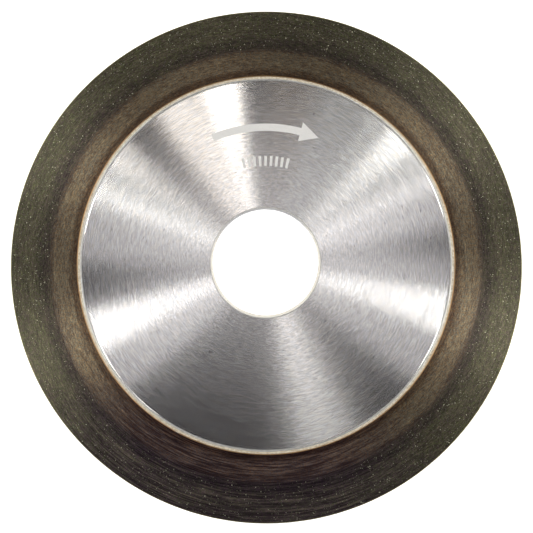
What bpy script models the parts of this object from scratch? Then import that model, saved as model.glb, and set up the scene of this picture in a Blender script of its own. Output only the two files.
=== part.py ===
"""Diamond grinding wheel with a resin bond on an aluminium core.

The wheel lies flat in its own frame: its axis is +Z, its back rests on z = 0
and its origin is the centre of that back plane. Every piece is turned about
the axis from a profile in the XZ plane, in metres.
"""

import math

import bmesh
import bpy

MM = 0.001

# Wheel
WHEEL_RADIUS = 75.0 * MM
WHEEL_WIDTH = 8.0 * MM
SEGMENTS = 96
FIT_GAP = 0.03 * MM

# Spindle bore
BORE_RADIUS = 16.0 * MM
BORE_CHAMFER = 0.25 * MM

# Aluminium core
CORE_RADIUS = 54.3 * MM
FACE_RECESS = 0.35 * MM
LIP_WIDTH = 0.30 * MM
LIP_BEVEL = 0.30 * MM

# Keying grooves turned into the rim of the core
KEY_HEIGHTS = (2.7 * MM, 5.3 * MM)
KEY_WIDTH = 0.9 * MM
KEY_DEPTH = 0.6 * MM
KEY_TAPER = 0.15 * MM

# Adhesive line between core and bond
ADHESIVE_THICKNESS = 0.5 * MM
ADHESIVE_SINK = 0.08 * MM

# Backing ring, free of diamond
BACKING_OUTER_RADIUS = 63.0 * MM
BACKING_EDGE = 0.12 * MM
BACKING_DROP = 0.1 * MM

# Diamond ring
RIM_DROP = 1.0 * MM
RIM_ROUND = 0.5 * MM
RIM_ROUND_STEPS = 3

SHARP_ANGLE = math.radians(25.0)
MERGE_DISTANCE = 0.00001

COLLECTION_NAME = "diamond_grinding_wheel"


def clear_scene():
    for obj in list(bpy.data.objects):
        bpy.data.objects.remove(obj, do_unlink=True)


def new_collection(name):
    collection = bpy.data.collections.new(name)
    bpy.context.scene.collection.children.link(collection)
    return collection


def new_material(name, color, roughness, metallic):
    material = bpy.data.materials.new(name)
    material.use_nodes = True
    shader = material.node_tree.nodes["Principled BSDF"]
    shader.inputs["Base Color"].default_value = (*color, 1.0)
    shader.inputs["Roughness"].default_value = roughness
    shader.inputs["Metallic"].default_value = metallic
    material.diffuse_color = (*color, 1.0)
    return material


def turned(name, profile, material, collection):
    """Turn a closed profile of (radius, height) points about the Z axis."""
    mesh = bpy.data.meshes.new(name)
    outline = bmesh.new()
    points = [outline.verts.new((radius, 0.0, height)) for radius, height in profile]
    for start, end in zip(points, points[1:] + points[:1]):
        outline.edges.new((start, end))
    outline.to_mesh(mesh)
    outline.free()
    obj = bpy.data.objects.new(name, mesh)
    collection.objects.link(obj)
    screw = obj.modifiers.new("Turn", "SCREW")
    screw.axis = "Z"
    screw.angle = 2.0 * math.pi
    screw.steps = SEGMENTS
    screw.render_steps = SEGMENTS
    screw.use_merge_vertices = True
    screw.merge_threshold = MERGE_DISTANCE
    depsgraph = bpy.context.evaluated_depsgraph_get()
    obj.data = bpy.data.meshes.new_from_object(obj.evaluated_get(depsgraph))
    obj.data.name = name
    obj.modifiers.clear()
    bpy.data.meshes.remove(mesh)
    obj.data.shade_smooth()
    obj.data.set_sharp_from_angle(angle=SHARP_ANGLE)
    obj.data.materials.append(material)
    return obj


def key_profile(radius, depth, mouth, floor):
    """Points down the keying grooves of a rim, top groove first."""
    points = []
    for height in sorted(KEY_HEIGHTS, reverse=True):
        points.append((radius, height + 0.5 * mouth))
        points.append((radius - depth, height + 0.5 * floor))
        points.append((radius - depth, height - 0.5 * floor))
        points.append((radius, height - 0.5 * mouth))
    return points


def rim_round(top):
    """Quarter circle from the face at height top down onto the wheel's rim."""
    centre_radius = WHEEL_RADIUS - RIM_ROUND
    centre_height = top - RIM_ROUND
    points = []
    for step in range(RIM_ROUND_STEPS + 1):
        turn = 0.5 * math.pi * step / RIM_ROUND_STEPS
        radius = centre_radius + RIM_ROUND * math.sin(turn)
        height = centre_height + RIM_ROUND * math.cos(turn)
        points.append((radius, height))
    return points


def mirrored(points):
    """The same points on the wheel's back, from the rim inwards."""
    return [(radius, WHEEL_WIDTH - height) for radius, height in reversed(points)]


def build_core(material, collection):
    face = WHEEL_WIDTH - FACE_RECESS
    lip_inner = CORE_RADIUS - LIP_WIDTH
    face_edge = lip_inner - LIP_BEVEL
    chamfer_radius = BORE_RADIUS + BORE_CHAMFER
    front = [
        (BORE_RADIUS, face - BORE_CHAMFER),
        (chamfer_radius, face),
        (face_edge, face),
        (lip_inner, WHEEL_WIDTH),
        (CORE_RADIUS, WHEEL_WIDTH),
    ]
    floor = KEY_WIDTH - 2.0 * KEY_TAPER
    keys = key_profile(CORE_RADIUS, KEY_DEPTH, KEY_WIDTH, floor)
    profile = front + keys + mirrored(front)
    return turned("aluminium_core", profile, material, collection)


def build_adhesive(material, collection):
    inner = CORE_RADIUS + FIT_GAP
    outer = inner + ADHESIVE_THICKNESS
    top = WHEEL_WIDTH - ADHESIVE_SINK
    bottom = ADHESIVE_SINK
    mouth = KEY_WIDTH - 2.0 * FIT_GAP
    floor = mouth - 2.0 * KEY_TAPER
    keys = key_profile(inner, KEY_DEPTH, mouth, floor)
    profile = [(inner, top), (outer, top), (outer, bottom), (inner, bottom)]
    profile += reversed(keys)
    return turned("adhesive_line", profile, material, collection)


def build_backing(material, collection):
    inner = CORE_RADIUS + 2.0 * FIT_GAP + ADHESIVE_THICKNESS
    outer = BACKING_OUTER_RADIUS
    top = WHEEL_WIDTH
    profile = [
        (inner, top - BACKING_EDGE),
        (inner + BACKING_EDGE, top),
        (outer, top - BACKING_DROP),
        (outer, 0.0),
        (inner + BACKING_EDGE, 0.0),
        (inner, BACKING_EDGE),
    ]
    return turned("backing_ring", profile, material, collection)


def build_diamond(material, collection):
    inner = BACKING_OUTER_RADIUS + FIT_GAP
    top = WHEEL_WIDTH - BACKING_DROP
    front_rim = rim_round(WHEEL_WIDTH - RIM_DROP)
    back_rim = mirrored(rim_round(WHEEL_WIDTH))
    profile = [(inner, top)] + front_rim + back_rim + [(inner, 0.0)]
    return turned("diamond_ring", profile, material, collection)


def build_wheel():
    clear_scene()
    collection = new_collection(COLLECTION_NAME)
    aluminium = new_material("turned_aluminium", (0.78, 0.78, 0.77), 0.28, 1.0)
    adhesive = new_material("cured_adhesive", (0.62, 0.50, 0.33), 0.55, 0.0)
    backing = new_material("brown_resin", (0.075, 0.05, 0.034), 0.5, 0.0)
    diamond = new_material("diamond_resin", (0.062, 0.058, 0.038), 0.6, 0.0)
    build_core(aluminium, collection)
    build_adhesive(adhesive, collection)
    build_backing(backing, collection)
    build_diamond(diamond, collection)


build_wheel()
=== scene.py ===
import math
import random

import bpy
from mathutils import Matrix, Quaternion, Vector


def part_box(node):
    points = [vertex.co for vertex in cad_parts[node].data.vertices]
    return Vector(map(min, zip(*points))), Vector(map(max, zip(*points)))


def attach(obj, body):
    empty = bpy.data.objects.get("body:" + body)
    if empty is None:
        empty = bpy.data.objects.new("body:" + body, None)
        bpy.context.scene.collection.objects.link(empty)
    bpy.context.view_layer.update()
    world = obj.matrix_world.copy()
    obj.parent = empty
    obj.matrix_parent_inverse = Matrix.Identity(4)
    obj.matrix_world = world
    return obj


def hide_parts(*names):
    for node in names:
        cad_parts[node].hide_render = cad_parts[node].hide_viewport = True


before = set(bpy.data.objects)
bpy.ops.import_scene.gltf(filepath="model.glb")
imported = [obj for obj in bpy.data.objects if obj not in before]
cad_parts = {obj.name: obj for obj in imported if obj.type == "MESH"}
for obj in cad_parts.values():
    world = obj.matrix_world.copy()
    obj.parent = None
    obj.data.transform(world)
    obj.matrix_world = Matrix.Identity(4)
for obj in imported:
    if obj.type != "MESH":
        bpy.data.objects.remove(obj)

MM = 0.001
TAU = 2.0 * math.pi

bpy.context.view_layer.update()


# ---------------------------------------------------------------- dimensions
# The wheel lies flat: its axis is +Z, its back rests on z = 0.

CORE_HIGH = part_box("aluminium_core")[1]
LINE_LOW, LINE_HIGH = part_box("adhesive_line")
BACK_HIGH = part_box("backing_ring")[1]
DIAMOND_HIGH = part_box("diamond_ring")[1]

TOP = CORE_HIGH[2]
CORE_R = CORE_HIGH[0]
LINE_R = LINE_HIGH[0]
BACKING_R = BACK_HIGH[0]
WHEEL_R = DIAMOND_HIGH[0]

GAP = 0.03 * MM
BORE_R = 16.0 * MM
BORE_CHAMFER = 0.25 * MM
RECESS = 0.35 * MM
LIP = 0.30 * MM
BEVEL = 0.30 * MM
LINE_SINK = LINE_LOW[2]
BACKING_EDGE = 0.12 * MM
BACKING_DROP = TOP - DIAMOND_HIGH[2]
RIM_DROP = 1.0 * MM
RIM_ROUND = 0.5 * MM
FACE_Z = TOP - RECESS
FACE_R = CORE_R - LIP - BEVEL


# -------------------------------------------------------------------- meshes

def smooth(mesh, angle=35.0):
    mesh.shade_smooth()
    mesh.set_sharp_from_angle(angle=math.radians(angle))


def new_piece(name, verts, faces, tones=None):
    """A mesh piece; tones gives each point a value that its material reads."""
    mesh = bpy.data.meshes.new(name)
    mesh.from_pydata(verts, [], faces)
    mesh.update()
    if tones:
        mesh.attributes.new("tone", "FLOAT", "POINT").data.foreach_set("value", tones)
    obj = bpy.data.objects.new(name, mesh)
    bpy.context.scene.collection.objects.link(obj)
    return obj


def turned_piece(name, profile, segments, relief=None):
    """Turn a closed profile; relief(i, turn) gives point i's (dr, dz, tone) at that turn."""
    count = len(profile)
    verts, tones = [], []
    for s in range(segments):
        turn = TAU * s / segments
        cosine, sine = math.cos(turn), math.sin(turn)
        for i, (r, z) in enumerate(profile):
            dr, dz, tone = relief(i, turn) if relief else (0.0, 0.0, 0.5)
            verts.append(((r + dr) * cosine, (r + dr) * sine, z + dz))
            tones.append(tone)
    faces = []
    for s in range(segments):
        here = s * count
        beyond = ((s + 1) % segments) * count
        for i in range(count):
            j = (i + 1) % count
            faces.append((here + i, here + j, beyond + j, beyond + i))
    obj = new_piece(name, verts, faces, tones)
    smooth(obj.data)
    return obj


def run(start, end, step):
    """Radii from start towards end in even steps of about step, without the last."""
    count = max(1, round(abs(end - start) / step))
    return [start + (end - start) * k / count for k in range(count)]


def blend_steps(part):
    return part * part * (3.0 - 2.0 * part)


class Streaks:
    """Smooth noise in rows round a ring, each row's knots starting at its own turn."""

    def __init__(self, rng, rows, knots):
        self.rows = [[rng.gauss(0.0, 1.0) for _ in range(knots)] for _ in range(rows)]
        self.starts = [rng.random() for _ in range(rows)]
        self.knots = knots

    def in_row(self, row, turn):
        row %= len(self.rows)
        place = turn / TAU * self.knots + self.starts[row]
        knot = math.floor(place)
        part = blend_steps(place - knot)
        values = self.rows[row]
        return values[knot % self.knots] * (1.0 - part) + values[(knot + 1) % self.knots] * part

    def at(self, place, turn):
        row = math.floor(place)
        part = place - row
        return self.in_row(row, turn) * (1.0 - part) + self.in_row(row + 1, turn) * part


# The bond rings are cut deepest round the turn below, and their colour is painted darker
# and more violet there as shade: fully where the cosine of the turn from it is the
# low value plus the span or more, and not at all below the low value.
ROUGH_AND_SHADE_TURN = math.radians(262.0)
ROUGH_AND_SHADE_LOW = 0.62
ROUGH_AND_SHADE_SPAN = 0.3

# The bore's wall is painted near black on the side of this turn, as shade.
BORE_SHADE_TURN = math.radians(95.0)


# ------------------------------------------------------------ material tools

def new_material(name):
    material = bpy.data.materials.new(name)
    material.use_nodes = True
    tree = material.node_tree
    return material, tree, tree.nodes["Principled BSDF"]


def node(tree, kind, **settings):
    made = tree.nodes.new(kind)
    for key, value in settings.items():
        setattr(made, key, value)
    return made


def feed(tree, socket, value):
    """Set a socket to a number or a tuple, or link another socket to it."""
    if isinstance(value, (int, float, tuple)):
        socket.default_value = value
    else:
        tree.links.new(value, socket)


def maths(tree, operation, a, b=0.0):
    made = node(tree, "ShaderNodeMath", operation=operation)
    feed(tree, made.inputs[0], a)
    feed(tree, made.inputs[1], b)
    return made.outputs[0]


def vector_maths(tree, operation, a, b=(0.0, 0.0, 0.0)):
    made = node(tree, "ShaderNodeVectorMath", operation=operation)
    feed(tree, made.inputs[0], a)
    feed(tree, made.inputs[1], b)
    return made.outputs[0]


def scaled(tree, vector, scale):
    made = node(tree, "ShaderNodeVectorMath", operation="SCALE")
    tree.links.new(vector, made.inputs[0])
    feed(tree, made.inputs["Scale"], scale)
    return made.outputs[0]


def polar(tree):
    """Object coordinates, radius, and the unit direction out from the axis."""
    place = node(tree, "ShaderNodeTexCoord").outputs["Object"]
    flat = vector_maths(tree, "MULTIPLY", place, (1.0, 1.0, 0.0))
    length = node(tree, "ShaderNodeVectorMath", operation="LENGTH")
    tree.links.new(flat, length.inputs[0])
    return place, length.outputs["Value"], vector_maths(tree, "NORMALIZE", flat)


def streak_coords(tree, radius, outward, along, across):
    """Coordinates for streaks round the axis: along per radian, across per metre."""
    split = node(tree, "ShaderNodeSeparateXYZ")
    tree.links.new(scaled(tree, outward, along), split.inputs[0])
    combine = node(tree, "ShaderNodeCombineXYZ")
    tree.links.new(split.outputs[0], combine.inputs[0])
    tree.links.new(split.outputs[1], combine.inputs[1])
    tree.links.new(maths(tree, "MULTIPLY", radius, across), combine.inputs[2])
    return combine.outputs[0]


def noise(tree, vector, scale=1.0, detail=2.0, roughness=0.5):
    made = node(tree, "ShaderNodeTexNoise")
    made.inputs["Scale"].default_value = scale
    made.inputs["Detail"].default_value = detail
    made.inputs["Roughness"].default_value = roughness
    tree.links.new(vector, made.inputs["Vector"])
    return made.outputs["Fac"]


def attribute(tree, name):
    return node(tree, "ShaderNodeAttribute", attribute_name=name).outputs["Fac"]


def ramp(tree, value, stops):
    """Colour along stops of (place, colour)."""
    made = node(tree, "ShaderNodeValToRGB")
    band = made.color_ramp
    while len(band.elements) < len(stops):
        band.elements.new(0.5)
    for element, (place, colour) in zip(band.elements, stops):
        element.position = place
        element.color = (*colour, 1.0)
    tree.links.new(value, made.inputs[0])
    return made.outputs[0]


def spread(tree, value, low, high, out_low=0.0, out_high=1.0):
    made = node(tree, "ShaderNodeMapRange")
    tree.links.new(value, made.inputs["Value"])
    made.inputs["From Min"].default_value = low
    made.inputs["From Max"].default_value = high
    made.inputs["To Min"].default_value = out_low
    made.inputs["To Max"].default_value = out_high
    return made.outputs[0]


def mix_colour(tree, factor, a, b, blend="MIX"):
    made = node(tree, "ShaderNodeMix", data_type="RGBA", blend_type=blend)
    kinds = {"Factor": "VALUE", "A": "RGBA", "B": "RGBA"}
    for name, value in (("Factor", factor), ("A", a), ("B", b)):
        socket = next(s for s in made.inputs if s.name == name and s.type == kinds[name] and s.enabled)
        feed(tree, socket, (*value, 1.0) if isinstance(value, tuple) else value)
    return next(s for s in made.outputs if s.type == "RGBA" and s.enabled)


def bump(tree, height, strength, distance):
    made = node(tree, "ShaderNodeBump")
    made.inputs["Strength"].default_value = strength
    made.inputs["Distance"].default_value = distance
    tree.links.new(height, made.inputs["Height"])
    return made.outputs[0]


def radial_tangent(tree, outward, wobble, amount):
    """Outward, or up on a wall, turned a little by wobble as turning marks wander."""
    around = vector_maths(tree, "CROSS_PRODUCT", (0.0, 0.0, 1.0), outward)
    angle = maths(tree, "MULTIPLY", maths(tree, "SUBTRACT", wobble, 0.5), amount)
    swung = vector_maths(tree, "ADD", outward, scaled(tree, around, angle))
    return vector_maths(tree, "NORMALIZE", vector_maths(tree, "ADD", swung, (0.0, 0.0, 0.03)))


# ----------------------------------------------------------------- materials

def aluminium():
    """The turned faces: rings of fine marks, mirrored out to radial fans of light."""
    material, tree, shader = new_material("turned_aluminium_look")
    _, radius, outward = polar(tree)
    fine = noise(tree, streak_coords(tree, radius, outward, 16.0, 3600.0))
    broad = noise(tree, streak_coords(tree, radius, outward, 6.0, 900.0), detail=3.0)
    wander = noise(tree, streak_coords(tree, radius, outward, 22.0, 2600.0), detail=1.0)
    rare = noise(tree, streak_coords(tree, radius, outward, 30.0, 3000.0), detail=0.0)
    hue = noise(tree, streak_coords(tree, radius, outward, 26.0, 2900.0), detail=1.0)
    colour = mix_colour(tree, spread(tree, fine, 0.3, 0.7), (0.74, 0.73, 0.73), (1.0, 0.99, 0.98))
    tint = mix_colour(tree, spread(tree, hue, 0.35, 0.65), (1.0, 0.98, 0.955), (0.96, 0.97, 1.0))
    colour = mix_colour(tree, 1.0, colour, tint, blend="MULTIPLY")
    colour = mix_colour(tree, spread(tree, rare, 0.80, 0.84), colour, (0.45, 0.43, 0.44))
    tree.links.new(colour, shader.inputs["Base Color"])
    shader.inputs["Metallic"].default_value = 1.0
    across = spread(tree, radius, BORE_R, FACE_R, 0.205, 0.18)
    uneven = spread(tree, broad, 0.3, 0.7, -0.01, 0.01)
    tree.links.new(maths(tree, "ADD", across, uneven), shader.inputs["Roughness"])
    shader.inputs["Anisotropic"].default_value = 1.0
    tree.links.new(radial_tangent(tree, outward, wander, 0.12), shader.inputs["Tangent"])
    tree.links.new(bump(tree, fine, 0.25, 0.00004), shader.inputs["Normal"])
    return material


def edge_aluminium():
    """The lips and the bore's front chamfer, cut finer, with no fans of light."""
    material, tree, shader = new_material("edge_aluminium_look")
    _, radius, outward = polar(tree)
    grain = noise(tree, streak_coords(tree, radius, outward, 60.0, 5000.0), detail=3.0)
    colour = ramp(tree, grain, [(0.35, (0.70, 0.68, 0.65)), (0.65, (0.93, 0.92, 0.89))])
    tree.links.new(colour, shader.inputs["Base Color"])
    shader.inputs["Metallic"].default_value = 0.6
    tree.links.new(spread(tree, grain, 0.3, 0.7, 0.45, 0.36), shader.inputs["Roughness"])
    tree.links.new(bump(tree, grain, 0.2, 0.00003), shader.inputs["Normal"])
    return material


def bore_aluminium():
    """The bore's wall and back chamfer: painted shade on one side, and darker near the back."""
    material, tree, shader = new_material("bore_aluminium_look")
    place, radius, outward = polar(tree)
    split = node(tree, "ShaderNodeSeparateXYZ")
    tree.links.new(place, split.inputs[0])
    grain = noise(tree, streak_coords(tree, radius, outward, 30.0, 5000.0), detail=3.0)
    colour = ramp(tree, grain, [(0.35, (0.50, 0.46, 0.37)), (0.65, (0.62, 0.58, 0.48))])
    low = spread(tree, split.outputs[2], 0.6 * MM, 1.6 * MM)
    colour = mix_colour(tree, low, (0.42, 0.38, 0.33), colour)
    # Painted shade: the wall is mixed to near black on one side of the bore.
    bore_shade = towards(tree, outward, BORE_SHADE_TURN, 0.45, 0.75)
    colour = mix_colour(tree, bore_shade, colour, (0.10, 0.095, 0.10))
    tree.links.new(colour, shader.inputs["Base Color"])
    shader.inputs["Metallic"].default_value = 0.6
    tree.links.new(spread(tree, grain, 0.3, 0.7, 0.34, 0.26), shader.inputs["Roughness"])
    tree.links.new(bump(tree, grain, 0.2, 0.00003), shader.inputs["Normal"])
    return material


def adhesive():
    """Cured adhesive: grainy, from tan to cream."""
    material, tree, shader = new_material("cured_adhesive_look")
    place = node(tree, "ShaderNodeTexCoord").outputs["Object"]
    grain = noise(tree, place, scale=1800.0, detail=3.0)
    colour = ramp(tree, grain, [(0.3, (0.58, 0.47, 0.33)), (0.7, (0.90, 0.82, 0.67))])
    tree.links.new(colour, shader.inputs["Base Color"])
    shader.inputs["Roughness"].default_value = 0.5
    tree.links.new(bump(tree, grain, 0.4, 0.00005), shader.inputs["Normal"])
    return material


def etched():
    """Metal etched to a pale matt grey."""
    material, tree, shader = new_material("etched_mark_look")
    place = node(tree, "ShaderNodeTexCoord").outputs["Object"]
    grain = noise(tree, place, scale=5000.0)
    colour = ramp(tree, grain, [(0.3, (0.86, 0.84, 0.83)), (0.7, (0.97, 0.96, 0.95))])
    tree.links.new(colour, shader.inputs["Base Color"])
    shader.inputs["Roughness"].default_value = 0.5
    tree.links.new(bump(tree, grain, 0.3, 0.00002), shader.inputs["Normal"])
    return material


def towards(tree, outward, turn, low, high):
    """One where the cosine of outward's turn from turn is high, falling to none at low."""
    made = node(tree, "ShaderNodeVectorMath", operation="DOT_PRODUCT")
    tree.links.new(outward, made.inputs[0])
    made.inputs[1].default_value = (math.cos(turn), math.sin(turn), 0.0)
    return spread(tree, made.outputs["Value"], low, high)


# Colour zones wander by up to half of PATCH_SHIFT. The front fringe fades out as
# the surface falls from FRINGE_HIGH to FRINGE_LOW.
PATCH_SHIFT = 3.0 * MM
FRINGE_LOW = TOP - 1.5 * MM
FRINGE_HIGH = TOP - 1.15 * MM


def resin_look(name, zones, shades, tints, shade_cast, edge, metallic, roughness, swing):
    """Metal-filled resin: a radial run of colours, tinted by grain and streaked with random
    tone, painted shade in the grooves and painted highlight on the ridges.

    zones is the colour stops with the radii of their ends. The cast colour is painted
    shade: it turns the rough side violet, and darker on the brown ring. edge is the
    colour of a thin front fringe and the radii it fades between.
    """
    material, tree, shader = new_material(name)
    place, radius, outward = polar(tree)
    patch = noise(tree, streak_coords(tree, radius, outward, 5.0, 420.0))
    shift = maths(tree, "MULTIPLY", maths(tree, "SUBTRACT", patch, 0.5), PATCH_SHIFT)
    shifted = maths(tree, "ADD", radius, shift)
    zone_stops, zone_low, zone_high = zones
    zone = ramp(tree, spread(tree, shifted, zone_low, zone_high), zone_stops)
    short = noise(tree, streak_coords(tree, radius, outward, 170.0, 2600.0), roughness=0.6)
    long = noise(tree, streak_coords(tree, radius, outward, 12.0, 3300.0), detail=3.0, roughness=0.6)
    wander = noise(tree, streak_coords(tree, radius, outward, 60.0, 2600.0), detail=1.0)
    rough_and_shade = towards(tree, outward, ROUGH_AND_SHADE_TURN, ROUGH_AND_SHADE_LOW, ROUGH_AND_SHADE_LOW + ROUGH_AND_SHADE_SPAN)
    short_part = maths(tree, "MULTIPLY", short, maths(tree, "SUBTRACT", 1.0, rough_and_shade))
    streak = maths(tree, "ADD", short_part, maths(tree, "MULTIPLY", long, rough_and_shade))
    # The tone follows the relief's height: painted shade in the grooves, painted highlight on the
    # ridges.
    relief_part = maths(tree, "MULTIPLY", attribute(tree, "tone"), 0.5)
    tone = maths(tree, "ADD", relief_part, maths(tree, "MULTIPLY", streak, 0.5))
    swell = maths(tree, "ADD", 1.0, maths(tree, "MULTIPLY", rough_and_shade, 0.6))
    tone = maths(tree, "ADD", maths(tree, "MULTIPLY", maths(tree, "SUBTRACT", tone, 0.5), swell), 0.5)
    # Painted shade: the tone is lowered on the rough side.
    shade = ramp(tree, maths(tree, "SUBTRACT", tone, maths(tree, "MULTIPLY", rough_and_shade, 0.07)), shades)
    grain = noise(tree, scaled(tree, place, 1900.0), detail=2.0)
    speck = noise(tree, scaled(tree, place, 3800.0), detail=0.0)
    grain_part = maths(tree, "MULTIPLY", grain, 0.85)
    hue = maths(tree, "ADD", grain_part, maths(tree, "MULTIPLY", patch, 0.15))
    tint = mix_colour(tree, spread(tree, hue, 0.38, 0.62), tints[0], tints[1])
    speckle = mix_colour(tree, spread(tree, speck, 0.3, 0.7), (0.78, 0.78, 0.78), (1.16, 1.16, 1.16))
    # Painted shade: the cast colour turns the rough side violet and darker.
    rough_side_shade = mix_colour(tree, rough_and_shade, (0.83, 0.84, 0.81), shade_cast)
    colour = mix_colour(tree, 1.0, zone, shade, blend="MULTIPLY")
    colour = mix_colour(tree, 1.0, colour, tint, blend="MULTIPLY")
    colour = mix_colour(tree, 1.0, colour, rough_side_shade, blend="MULTIPLY")
    colour = mix_colour(tree, 1.0, colour, speckle, blend="MULTIPLY")
    # On the diamond ring this fringe is a painted highlight on the rim's rounded front edge.
    edge_colour, low, high = edge
    split = node(tree, "ShaderNodeSeparateXYZ")
    tree.links.new(place, split.inputs[0])
    front = spread(tree, split.outputs[2], FRINGE_LOW, FRINGE_HIGH)
    fringe = maths(tree, "MULTIPLY", spread(tree, radius, low, high), front)
    colour = mix_colour(tree, fringe, colour, edge_colour)
    tree.links.new(colour, shader.inputs["Base Color"])
    shader.inputs["Metallic"].default_value = metallic
    shader.inputs["Roughness"].default_value = roughness
    shader.inputs["Anisotropic"].default_value = 0.79
    tree.links.new(radial_tangent(tree, outward, wander, swing), shader.inputs["Tangent"])
    tree.links.new(bump(tree, streak, 0.3, 0.00008), shader.inputs["Normal"])
    return material


def brown_resin():
    # The run dips darker just outside its inner edge: painted shade beside the joint with the core.
    stops = [(0.0, (0.31, 0.22, 0.15)), (0.16, (0.26, 0.185, 0.13)),
             (0.35, (0.50, 0.42, 0.305)), (0.80, (0.48, 0.40, 0.29)), (1.0, (0.28, 0.235, 0.20))]
    shades = [(0.22, (0.20, 0.17, 0.20)), (0.5, (0.44, 0.43, 0.44)), (0.67, (0.66, 0.65, 0.62)),
              (0.85, (1.0, 0.96, 0.84))]
    tints = ((0.88, 0.97, 1.06), (1.07, 0.89, 0.73))
    edge = ((0.62, 0.38, 0.18), LINE_R + 0.27 * MM, LINE_R + 0.15 * MM)
    # Painted shade for the rough side: darker and violet.
    shade_cast = (0.70, 0.62, 0.80)
    zones = (stops, LINE_R, BACKING_R)
    return resin_look("brown_resin_look", zones, shades, tints, shade_cast, edge, 0.95, 0.46, 0.3)


def diamond_resin():
    stops = [(0.0, (0.24, 0.208, 0.172)), (0.15, (0.197, 0.176, 0.150)), (0.42, (0.315, 0.30, 0.217)),
             (1.0, (0.31, 0.297, 0.215))]
    shades = [(0.22, (0.20, 0.18, 0.21)), (0.5, (0.44, 0.43, 0.44)), (0.67, (0.66, 0.66, 0.60)),
              (0.85, (1.0, 0.98, 0.80))]
    tints = ((0.93, 1.01, 0.78), (1.04, 0.88, 1.02))
    # Painted highlight: a light olive line on the front of the rounded rim.
    edge = ((0.62, 0.56, 0.24), BODY_R - 0.40 * MM, BODY_R - 0.16 * MM)
    # Painted shade for the rough side: more violet.
    shade_cast = (0.84, 0.76, 1.03)
    zones = (stops, BACKING_R, WHEEL_R)
    return resin_look("diamond_resin_look", zones, shades, tints, shade_cast, edge, 0.9, 0.5, 0.4)


def diamond_crystal():
    material, tree, shader = new_material("diamond_crystal_look")
    colour = ramp(tree, attribute(tree, "tone"),
                  [(0.0, (0.10, 0.095, 0.08)), (0.5, (0.26, 0.255, 0.19)), (1.0, (0.92, 0.90, 0.66))])
    tree.links.new(colour, shader.inputs["Base Color"])
    shader.inputs["Metallic"].default_value = 0.85
    shader.inputs["Roughness"].default_value = 0.45
    return material


# -------------------------------------------------------------- aluminium core

FACE_STEP = 0.25 * MM
BACK_STEP = 0.5 * MM
FACE_FEED = 0.002 * MM
CORE_SEGMENTS = 288
# How far in from the bevel's foot the undercut starts, is deepest and ends.
UNDERCUT = (0.04 * MM, 0.11 * MM, 0.18 * MM)
UNDERCUT_DEPTH = 0.05 * MM
# How far the front lip's land falls towards the joint.
LAND_FALL = 0.05 * MM
# Which material each stretch of the core's profile gets.
FACE_KIND, EDGE_KIND, BORE_KIND = 0, 1, 2


def make_core(material, edge_material, bore_material):
    """The turned disc: faint feed marks on both faces, a fine undercut inside the front lip."""
    rng = random.Random(7)
    chamfer_r = BORE_R + BORE_CHAMFER
    outer, middle, inner = (FACE_R - step for step in UNDERCUT)
    profile = [(BORE_R, FACE_Z - BORE_CHAMFER), (chamfer_r, FACE_Z)]
    profile += [(r, FACE_Z + rng.uniform(-1.0, 1.0) * FACE_FEED)
                for r in run(chamfer_r, inner, FACE_STEP)[1:]]
    profile += [(inner, FACE_Z), (middle, FACE_Z - UNDERCUT_DEPTH), (outer, FACE_Z)]
    profile += [(FACE_R, FACE_Z), (CORE_R - LIP, TOP), (CORE_R, TOP - LAND_FALL)]
    profile += [(CORE_R, 0.0), (CORE_R - LIP, 0.0), (FACE_R, RECESS)]
    profile += [(r, RECESS + rng.uniform(-1.0, 1.0) * FACE_FEED)
                for r in run(FACE_R, chamfer_r, BACK_STEP)[1:]]
    profile += [(chamfer_r, RECESS), (BORE_R, RECESS + BORE_CHAMFER)]
    kinds = []
    for i, (r, z) in enumerate(profile):
        if r <= chamfer_r and i > 1:
            kinds.append(BORE_KIND)
        elif i == 0 or (r >= FACE_R and (z >= FACE_Z or z <= RECESS)):
            kinds.append(EDGE_KIND)
        else:
            kinds.append(FACE_KIND)
    core = turned_piece("core_turned", profile, CORE_SEGMENTS)
    for look in (material, edge_material, bore_material):
        core.data.materials.append(look)
    core.data.polygons.foreach_set("material_index", kinds * CORE_SEGMENTS)
    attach(core, "root")
    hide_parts("aluminium_core")


# ------------------------------------------------------- etched rotation arrow

ETCH_LIFT = 0.004 * MM
ETCH_THICK = 0.012 * MM
ARROW_R = 39.8 * MM
ARROW_WIDTH = 2.2 * MM
ARROW_HEAD_WIDTH = 5.8 * MM
ARROW_START = math.radians(113.0)
ARROW_NECK = math.radians(75.0)
ARROW_TIP = math.radians(67.0)
ARROW_STEPS = 24
# Each side of the head ends this far from the middle, so that its end face has an area.
TIP_GAP = 0.001 * MM
BAR_R = (28.3 * MM, 31.3 * MM)
BAR_COUNT = 9
BAR_TURN = math.radians(3.1)
BAR_WIDTH = math.radians(1.5)


def plate(outline):
    """Points and faces of a thin etched plate over an outline of (radius, turn) pairs.

    The outline runs out along one side and back along the other, so pairs of
    points face each other across the plate.
    """
    low, high = FACE_Z + ETCH_LIFT, FACE_Z + ETCH_LIFT + ETCH_THICK
    count = len(outline)
    verts = [(r * math.cos(t), r * math.sin(t), z) for z in (low, high) for r, t in outline]
    faces = []
    for i in range(count // 2 - 1):
        far = count - 1 - i
        faces.append((i, i + 1, far - 1, far))
        faces.append((far + count, far - 1 + count, i + 1 + count, i + count))
    for i in range(count):
        j = (i + 1) % count
        faces.append((i, i + count, j + count, j))
    return verts, faces


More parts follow.
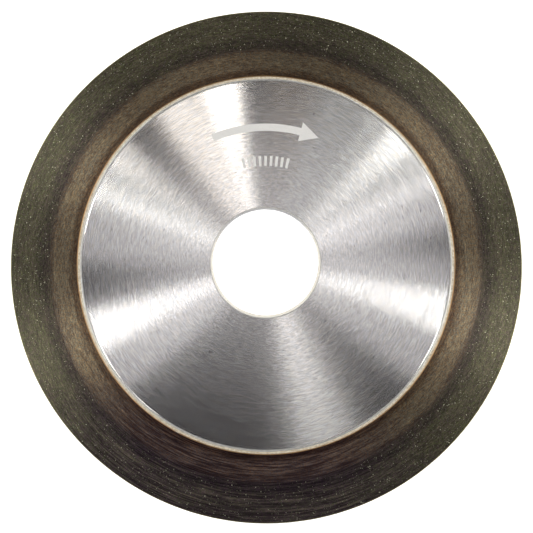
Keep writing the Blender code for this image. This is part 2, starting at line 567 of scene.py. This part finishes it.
def make_mark(material):
    """A plain arrow showing which way the wheel turns, and a row of plain bars below it."""
    half = 0.5 * ARROW_WIDTH
    sweep = ARROW_NECK - ARROW_START
    turns = [ARROW_START + sweep * k / ARROW_STEPS for k in range(ARROW_STEPS + 1)]
    outer = [(ARROW_R + half, t) for t in turns]
    inner = [(ARROW_R - half, t) for t in turns]
    outer += [(ARROW_R + 0.5 * ARROW_HEAD_WIDTH, ARROW_NECK), (ARROW_R + TIP_GAP, ARROW_TIP)]
    inner += [(ARROW_R - 0.5 * ARROW_HEAD_WIDTH, ARROW_NECK), (ARROW_R - TIP_GAP, ARROW_TIP)]
    shapes = [plate(outer + inner[::-1])]
    low, high = BAR_R
    for k in range(BAR_COUNT):
        middle = 0.25 * TAU + (k - 0.5 * (BAR_COUNT - 1)) * BAR_TURN
        left, right = middle + 0.5 * BAR_WIDTH, middle - 0.5 * BAR_WIDTH
        shapes.append(plate([(low, left), (high, left), (high, right), (low, right)]))
    verts, faces = [], []
    for points, sides in shapes:
        start = len(verts)
        verts += points
        faces += [tuple(start + i for i in side) for side in sides]
    mark = new_piece("etched_rotation_mark", verts, faces)
    mark.data.materials.append(material)
    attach(mark, "root")


# ---------------------------------------------------------------- adhesive line

NICK_TURN = math.radians(242.3)
NICK_SPAN = math.radians(0.9)
NICK_SIZE = 0.22 * MM
LINE_WANDER = 0.04 * MM
# The line's front slopes down over its outer edge.
SHOULDER_WIDTH = 0.1 * MM
SHOULDER_DROP = 0.02 * MM
# The smear over the core's lip.
FILM_WIDTH = 0.14 * MM
FILM_LIFT = 0.004 * MM
FILM_WANDER = 0.05 * MM
LINE_DIP = 0.03 * MM
LINE_SEGMENTS = 720
LINE_KNOTS = 240


def nick(turn):
    """How far the line bulges into the bond beside the nick, as a share of its size."""
    away = (turn - NICK_TURN) / NICK_SPAN
    return math.exp(-away * away)


def make_line(material):
    """Adhesive in the joint, smeared a little way over the land of the core's lip."""
    rng = random.Random(11)
    inner, outer = CORE_R + GAP, LINE_R
    bottom = LINE_SINK
    film_r = CORE_R - FILM_WIDTH
    land = TOP - LAND_FALL
    film_z = land + LAND_FALL * FILM_WIDTH / LIP + FILM_LIFT
    profile = [(film_r, film_z), (CORE_R, TOP - FILM_LIFT)]
    profile += [(outer - SHOULDER_WIDTH, TOP - SHOULDER_DROP), (outer, TOP - LINE_SINK)]
    profile += [(outer, bottom), (inner, bottom), (inner, land + FILM_LIFT)]
    edge = Streaks(rng, 3, LINE_KNOTS)

    def relief(i, turn):
        if i == 0:
            return FILM_WANDER * max(-1.0, min(1.0, edge.in_row(2, turn))), 0.0, 0.5
        if i == 2:
            return 0.0, -LINE_DIP * min(1.0, abs(edge.in_row(0, turn))), 0.5
        if i == 3:
            wander = -LINE_WANDER * min(1.0, abs(edge.in_row(1, turn)))
            return wander + NICK_SIZE * nick(turn), 0.0, 0.5
        return 0.0, 0.0, 0.5

    line = turned_piece("adhesive_ring", profile, LINE_SEGMENTS, relief)
    line.data.materials.append(material)
    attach(line, "root")
    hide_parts("adhesive_line")


# ------------------------------------------------------------------ bond rings

# A point of the profile every ROW_STEP across the front, PLAIN_STEP across the back.
ROW_STEP = 0.16 * MM
PLAIN_STEP = 1.0 * MM
RING_SEGMENTS = 900
FINE_KNOTS = 520
BROAD_KNOTS = 75
BROAD_ROWS = 3
# How much each kind of streak adds; the fine ones lose FINE_LOSS where it is rough.
FINE_SHARE = 0.8
FINE_LOSS = 0.45
LONG_SHARE = 0.95
BROAD_SHARE = 0.2
STREAK_LIMIT = 1.6
TONE_SWING = 0.31
BACKING_DEPTH = 0.02 * MM
DIAMOND_DEPTH = 0.025 * MM


class Relief:
    """Turning streaks on a ring's front face: short, but long and deep round ROUGH_AND_SHADE_TURN."""

    def __init__(self, seed, rows, depth):
        rng = random.Random(seed)
        self.fine = Streaks(rng, rows + 1, FINE_KNOTS)
        self.broad = Streaks(rng, rows // BROAD_ROWS + 3, BROAD_KNOTS)
        self.long = Streaks(rng, rows + 1, BROAD_KNOTS)
        self.depth = depth

    def at(self, row, turn):
        near = (math.cos(turn - ROUGH_AND_SHADE_TURN) - ROUGH_AND_SHADE_LOW) / ROUGH_AND_SHADE_SPAN
        rough_and_shade = blend_steps(max(0.0, min(1.0, near)))
        value = (FINE_SHARE - FINE_LOSS * rough_and_shade) * self.fine.in_row(row, turn)
        value += LONG_SHARE * rough_and_shade * self.long.in_row(row, turn)
        value += BROAD_SHARE * self.broad.at(row / BROAD_ROWS, turn)
        value = max(-STREAK_LIMIT, min(STREAK_LIMIT, value))
        # The tone rises with the height, so the material paints grooves darker as shade and ridges
        # lighter as highlight.
        return -self.depth + self.depth * value / STREAK_LIMIT, 0.5 + TONE_SWING * value


def bond_ring(name, profile, face_rows, relief, dent=None):
    """Turn a bond ring whose profile points 1 to face_rows - 1 carry the streaks."""
    def shift(i, turn):
        dr = dent(i, turn) if dent else 0.0
        if 0 < i < face_rows:
            dz, tone = relief.at(i, turn)
            return dr, dz, tone
        return dr, 0.0, 0.5

    return turned_piece(name, profile, RING_SEGMENTS, shift)


def make_backing(material):
    inner = LINE_R + GAP
    span = BACKING_R - inner
    face = run(inner + BACKING_EDGE, BACKING_R, ROW_STEP) + [BACKING_R]
    profile = [(inner, TOP - BACKING_EDGE)]
    profile += [(r, TOP - BACKING_DROP * (r - inner) / span) for r in face]
    profile += [(BACKING_R, 0.0)]
    profile += [(r, 0.0) for r in run(BACKING_R, inner + BACKING_EDGE, PLAIN_STEP)[1:]]
    profile += [(inner + BACKING_EDGE, 0.0), (inner, BACKING_EDGE)]
    last = len(profile) - 1

    def dent(i, turn):
        return (NICK_SIZE + GAP) * nick(turn) if i in (0, 1, last) else 0.0

    ring = bond_ring("backing_resin", profile, len(face), Relief(21, len(face), BACKING_DEPTH), dent)
    ring.data.materials.append(material)
    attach(ring, "root")
    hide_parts("backing_ring")


# The bond's back and rim stay this far inside the CAD solid, for the diamonds to stand out.
GRIT_STAND = 0.06 * MM
BODY_R = WHEEL_R - GRIT_STAND
DIAMOND_IN = BACKING_R + GAP
DIAMOND_OUT = WHEEL_R - RIM_ROUND


def diamond_face(radius):
    """Height of the diamond ring's front face, which falls gently to the rim."""
    fall = RIM_DROP - BACKING_DROP
    return TOP - BACKING_DROP - fall * (radius - DIAMOND_IN) / (DIAMOND_OUT - DIAMOND_IN)


def rim_points(face_z, steps=5):
    """Points over a rounded edge, from the face at height face_z out and down to the rim."""
    points = []
    for k in range(steps + 1):
        turn = 0.5 * math.pi * k / steps
        points.append((BODY_R - RIM_ROUND + RIM_ROUND * math.sin(turn),
                       face_z - RIM_ROUND + RIM_ROUND * math.cos(turn)))
    return points


def make_diamond(material):
    end_r = BODY_R - RIM_ROUND
    face = run(DIAMOND_IN, end_r, ROW_STEP)
    profile = [(r, diamond_face(r)) for r in face]
    profile += rim_points(diamond_face(end_r))
    profile += [(r, GRIT_STAND + TOP - z) for r, z in reversed(rim_points(TOP))]
    profile += [(r, GRIT_STAND) for r in run(end_r, DIAMOND_IN, PLAIN_STEP)[1:]]
    profile += [(DIAMOND_IN, GRIT_STAND)]
    ring = bond_ring("diamond_bond", profile, len(face), Relief(31, len(face), DIAMOND_DEPTH))
    ring.data.materials.append(material)
    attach(ring, "root")
    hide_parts("diamond_ring")


# ---------------------------------------------------------------- diamond grit

FACE_GRIT = 8000
BACK_GRIT = 2200
RIM_GRIT = 2200
GRIT_SMALL = 0.09 * MM
GRIT_LARGE = 0.24 * MM
CRYSTAL_LEAN = 0.1
# A crystal's top and foot: half width and height as shares of its size.
CRYSTAL_ENDS = ((0.7, 0.0), (1.1, -1.2))
# How unevenly its corners are spaced round it and how far out they are.
CORNER_SWING = 0.3
CORNER_SPAN = (0.75, 1.1)
# Crystals keep FACE_MARGIN from the front's rim and BACK_MARGIN from the back's inner
# edge, and stand up to FACE_STAND out of the front.
FACE_MARGIN = 0.2 * MM
BACK_MARGIN = 0.3 * MM
FACE_STAND = 0.05 * MM


def crystal(rng, place, size, up):
    """A small blocky crystal, its top worn nearly flat, standing on the side up points to."""
    lean = Vector([rng.gauss(0.0, CRYSTAL_LEAN) for _ in range(3)])
    up = (up + lean).normalized()
    side = up.orthogonal().normalized()
    side.rotate(Quaternion(up, rng.uniform(0.0, TAU)))
    other = up.cross(side)
    corners = []
    for reach, height in CRYSTAL_ENDS:
        for k in range(4):
            turn = 0.25 * TAU * k + rng.uniform(-CORNER_SWING, CORNER_SWING)
            span = size * reach * rng.uniform(*CORNER_SPAN)
            flat = side * span * math.cos(turn) + other * span * math.sin(turn)
            corners.append(place + flat + up * size * height)
    faces = [(0, 1, 2, 3), (7, 6, 5, 4)]
    faces += [(k, k + 4, (k + 1) % 4 + 4, (k + 1) % 4) for k in range(4)]
    return corners, faces


def make_grit(material):
    """Crystals mostly sunk in the diamond ring's front, back and rim."""
    rng = random.Random(41)
    places = []
    for _ in range(FACE_GRIT):
        r = DIAMOND_IN + (DIAMOND_OUT - DIAMOND_IN - FACE_MARGIN) * rng.random() ** 0.8
        places.append((r, rng.uniform(0.0, TAU), diamond_face(r), "face"))
    for _ in range(BACK_GRIT):
        r = rng.uniform(DIAMOND_IN + BACK_MARGIN, DIAMOND_OUT)
        places.append((r, rng.uniform(0.0, TAU), 0.5 * GRIT_STAND, "back"))
    for _ in range(RIM_GRIT):
        z = rng.uniform(RIM_ROUND, TOP - RIM_DROP - RIM_ROUND)
        places.append((BODY_R + 0.4 * GRIT_STAND, rng.uniform(0.0, TAU), z, "rim"))
    verts, faces, tones = [], [], []
    for r, turn, z, side in places:
        size = GRIT_SMALL + (GRIT_LARGE - GRIT_SMALL) * rng.random() ** 2
        out = Vector((math.cos(turn), math.sin(turn), 0.0))
        if side == "face":
            up = Vector((0.0, 0.0, 1.0))
            z += rng.uniform(0.0, FACE_STAND)
        elif side == "back":
            up = Vector((0.0, 0.0, -1.0))
        else:
            up = out
        corners, sides = crystal(rng, out * r + Vector((0.0, 0.0, z)), size, up)
        start = len(verts)
        verts += [(corner.x, corner.y, max(corner.z, 0.0)) for corner in corners]
        faces += [tuple(start + i for i in side_face) for side_face in sides]
        tones += [rng.random() ** 2.5] * len(corners)
    grit = new_piece("diamond_grit", verts, faces, tones)
    grit.data.materials.append(material)
    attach(grit, "root")


# --------------------------------------------------------------------- stage

STAGE_RADIUS = 3.0
STAGE_SIDES = 64
STAGE_GLOW = 0.85
STAGE_DROP = 0.1 * MM
DOME_LEVELS = 9


def glowing(name):
    """Matt off-white that also glows, so that it looks nearly white under soft light."""
    material, _, shader = new_material(name)
    shader.inputs["Base Color"].default_value = (0.9, 0.9, 0.9, 1.0)
    shader.inputs["Roughness"].default_value = 0.9
    shader.inputs["Emission Color"].default_value = (1.0, 1.0, 1.0, 1.0)
    shader.inputs["Emission Strength"].default_value = STAGE_GLOW
    return material


def stage_circle(lift):
    """Points round the dome at an angle of lift above the floor, and their height."""
    reach = STAGE_RADIUS * math.cos(lift)
    height = STAGE_RADIUS * math.sin(lift)
    turns = [TAU * k / STAGE_SIDES for k in range(STAGE_SIDES)]
    return [(reach * math.cos(turn), reach * math.sin(turn), height) for turn in turns]


def make_stage():
    """A pale floor, and a pale dome far off that only the camera sees."""
    floor_mesh = bpy.data.meshes.new("floor")
    floor_mesh.from_pydata(stage_circle(0.0), [], [tuple(range(STAGE_SIDES))])
    dome_verts, dome_faces = [], []
    for level in range(DOME_LEVELS):
        dome_verts += stage_circle(0.25 * TAU * level / DOME_LEVELS)
    last = (DOME_LEVELS - 1) * STAGE_SIDES
    for start in range(0, last, STAGE_SIDES):
        for k in range(STAGE_SIDES):
            here = start + k
            beyond = start + (k + 1) % STAGE_SIDES
            dome_faces.append((here, here + STAGE_SIDES, beyond + STAGE_SIDES, beyond))
    dome_faces.append(tuple(last + k for k in reversed(range(STAGE_SIDES))))
    dome_mesh = bpy.data.meshes.new("backdrop")
    dome_mesh.from_pydata(dome_verts, [], dome_faces)
    floor = bpy.data.objects.new("floor", floor_mesh)
    dome = bpy.data.objects.new("backdrop", dome_mesh)
    floor_mesh.materials.append(glowing("pale_floor"))
    dome_mesh.materials.append(glowing("pale_backdrop"))
    dome.visible_diffuse = False
    dome.visible_glossy = False
    dome.visible_shadow = False
    for obj in (floor, dome):
        bpy.context.scene.collection.objects.link(obj)
        obj.location.z = -STAGE_DROP


# Softboxes all round the wheel, at one distance from its centre. Each row is
# azimuth, elevation, width and height as seen from the wheel, in degrees,
# then brightness and tint. The low bright ones make the clearest fans of light
# on the turned face.
LIGHT_DISTANCE = 0.7
NEUTRAL = (1.0, 1.0, 0.955)
MAUVE = (1.0, 0.973, 0.98)
WARM = (1.0, 0.96, 0.90)
AMBER = (1.0, 0.84, 0.68)
LIGHTS = [
    (29.5, 42.0, 13.5, 20.0, 7.5, NEUTRAL),
    (154.0, 42.0, 14.5, 20.0, 9.0, NEUTRAL),
    (203.5, 42.0, 12.0, 20.0, 12.5, NEUTRAL),
    (343.5, 42.0, 11.5, 20.0, 15.5, NEUTRAL),
    (48.0, 44.0, 10.0, 20.0, 4.2, NEUTRAL),
    (40.0, 60.0, 8.0, 20.0, 2.6, NEUTRAL),
    (60.0, 66.0, 20.0, 24.0, 0.35, NEUTRAL),
    (80.0, 66.0, 16.0, 24.0, 0.14, AMBER),
    (85.0, 74.0, 22.0, 12.0, 0.05, WARM),
    (104.0, 60.0, 9.0, 20.0, 4.6, WARM),
    (121.0, 66.0, 12.0, 20.0, 1.2, WARM),
    (144.5, 60.0, 8.0, 20.0, 1.5, WARM),
    (289.0, 66.0, 19.0, 24.0, 0.39, NEUTRAL),
    (329.5, 66.0, 19.0, 24.0, 0.47, MAUVE),
    (17.5, 74.0, 22.0, 20.0, 0.66, MAUVE),
    (111.0, 76.0, 8.0, 20.0, 1.2, WARM),
    (120.0, 76.0, 24.0, 20.0, 0.28, AMBER),
    (160.0, 76.0, 8.0, 20.0, 0.75, NEUTRAL),
    (171.5, 73.0, 25.0, 18.0, 0.55, MAUVE),
    (216.0, 74.0, 23.0, 20.0, 0.69, MAUVE),
    (203.0, 66.0, 10.0, 24.0, 0.8, MAUVE),
    (288.5, 80.0, 14.0, 12.0, 1.15, MAUVE),
    (350.0, 76.0, 24.0, 20.0, 0.6, MAUVE),
]
OVERHEAD = (95.0, 88.0, 12.0, 12.0, 1.05, MAUVE)
# The world glows softly up to WORLD_LOW, a height on a unit sphere, and is almost
# dark from WORLD_HIGH up.
WORLD_LOW = 0.2
WORLD_HIGH = 0.45
WORLD_GLOW = 0.22
WORLD_DARK = 0.005
WORLD_TINT = (0.95, 0.9, 1.0)


def add_light(name, azimuth, elevation, wide, high, brightness, tint):
    """A softbox whose width in degrees of azimuth narrows with elevation, but not overhead."""
    light = bpy.data.lights.new(name, "AREA")
    light.shape = "RECTANGLE"
    squeeze = math.cos(math.radians(elevation)) if elevation < OVERHEAD[1] else 1.0
    light.size = 2.0 * LIGHT_DISTANCE * squeeze * math.tan(math.radians(0.5 * wide))
    light.size_y = 2.0 * LIGHT_DISTANCE * math.tan(math.radians(0.5 * high))
    light.energy = math.pi * light.size * light.size_y * brightness
    light.color = tint
    lamp = bpy.data.objects.new(name, light)
    bpy.context.scene.collection.objects.link(lamp)
    turn, lift = math.radians(azimuth), math.radians(elevation)
    away = Vector((math.cos(turn) * math.cos(lift), math.sin(turn) * math.cos(lift), math.sin(lift)))
    lamp.location = away * LIGHT_DISTANCE
    lamp.rotation_mode = "QUATERNION"
    lamp.rotation_quaternion = away.to_track_quat("Z", "Y")


def make_lights():
    for k, settings in enumerate(LIGHTS):
        add_light("softbox_%02d" % (k + 1), *settings)
    add_light("overhead", *OVERHEAD)
    world = bpy.data.worlds.new("studio")
    world.use_nodes = True
    tree = world.node_tree
    back = tree.nodes["Background"]
    back.inputs[0].default_value = (*WORLD_TINT, 1.0)
    split = node(tree, "ShaderNodeSeparateXYZ")
    tree.links.new(node(tree, "ShaderNodeTexCoord").outputs["Generated"], split.inputs[0])
    glow = spread(tree, split.outputs[2], WORLD_HIGH, WORLD_LOW, WORLD_DARK, WORLD_GLOW)
    tree.links.new(glow, back.inputs[1])
    bpy.context.scene.world = world


# The camera looks almost straight down on the wheel from close by. CAMERA_LEAN is
# how far its line of sight leans off the vertical, along x and y.
CAMERA_HEIGHT = 165.0 * MM
CAMERA_OFFSET = (-0.7 * MM, 2.9 * MM)
CAMERA_LEAN = (-0.0072, 0.0437)
CAMERA_LENS = 38.25
CAMERA_SHIFT = (0.0139, -0.0725)


def make_camera():
    data = bpy.data.cameras.new("camera")
    data.sensor_width = 36.0
    data.lens = CAMERA_LENS
    data.shift_x, data.shift_y = CAMERA_SHIFT
    data.clip_start = 0.01
    data.clip_end = 50.0
    camera = bpy.data.objects.new("camera", data)
    bpy.context.scene.collection.objects.link(camera)
    camera.location = (*CAMERA_OFFSET, TOP + CAMERA_HEIGHT)
    back = Vector((-CAMERA_LEAN[0], -CAMERA_LEAN[1], 1.0)).normalized()
    side = Vector((0.0, 1.0, 0.0)).cross(back).normalized()
    up = back.cross(side)
    camera.rotation_mode = "QUATERNION"
    camera.rotation_quaternion = Matrix((side, up, back)).transposed().to_quaternion()
    bpy.context.scene.camera = camera


make_camera()
make_stage()
make_lights()
make_core(aluminium(), edge_aluminium(), bore_aluminium())
make_mark(etched())
make_line(adhesive())
make_backing(brown_resin())
make_diamond(diamond_resin())
make_grit(diamond_crystal())

bpy.context.scene.view_settings.view_transform = "Standard"
